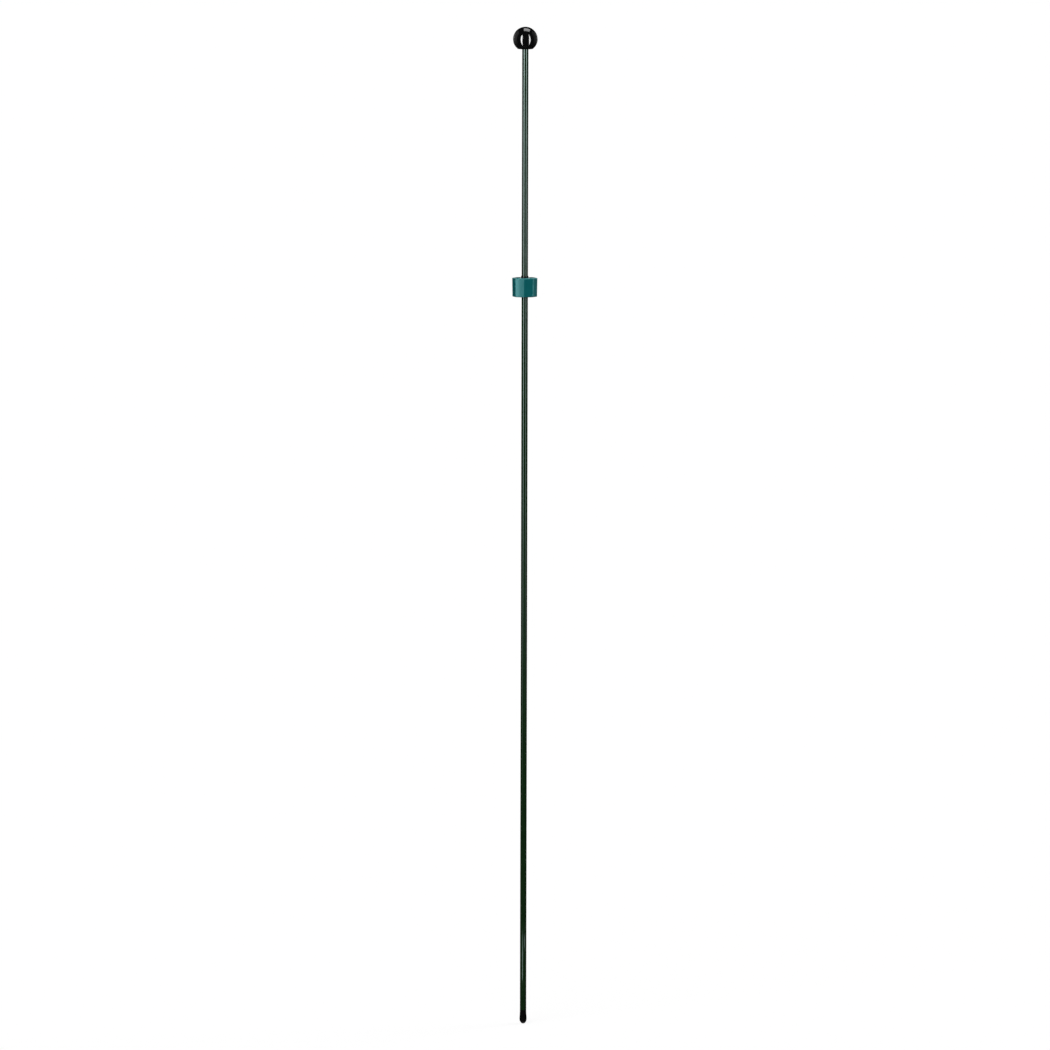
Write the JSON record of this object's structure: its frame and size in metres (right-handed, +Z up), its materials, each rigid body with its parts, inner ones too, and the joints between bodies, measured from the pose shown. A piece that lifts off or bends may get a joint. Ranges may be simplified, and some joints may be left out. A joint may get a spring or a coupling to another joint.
{
  "type": "plant stake",
  "caption": "Slim coated-steel plant stake with a ball top, a capped tip and an octagonal collar that grips the rod, slides along it and turns, with sockets for plant ties.",
  "frame": {"origin": "lowest point of the tip cap, on the rod's axis", "axes": "+Z up along the rod to the ball, -Y to the front corner of the collar, +X through one of its sockets"},
  "size_m": [0.0258, 0.0258, 1.0128],
  "materials": {
    "core_steel": "drawn",
    "green_coat": "smooth gloss",
    "cap_black": "satin",
    "insert_brass": "turned",
    "ball_black": "polished",
    "grip_rubber": "smooth satin",
    "collar_teal": "satin moulded"
  },
  "bodies": {
    "stake": {"steel_core": "core_steel", "green_jacket": "green_coat", "tip_cap": "cap_black", "ball_insert": "insert_brass", "ball_top": "ball_black"},
    "grip": {"collar_grip": "grip_rubber"},
    "collar": {"collar_body": "collar_teal"}
  },
  "joints": [
    {"name": "grip_slide", "type": "slide", "parent": "stake", "child": "grip", "axis": [0, 0, 1], "range_m": [-0.7255, 0.23]},
    {"name": "collar_turn", "type": "hinge", "parent": "grip", "child": "collar", "pos_m": [0, 0, 0.7485], "axis": [0, 0, 1], "continuous": true}
  ]
}
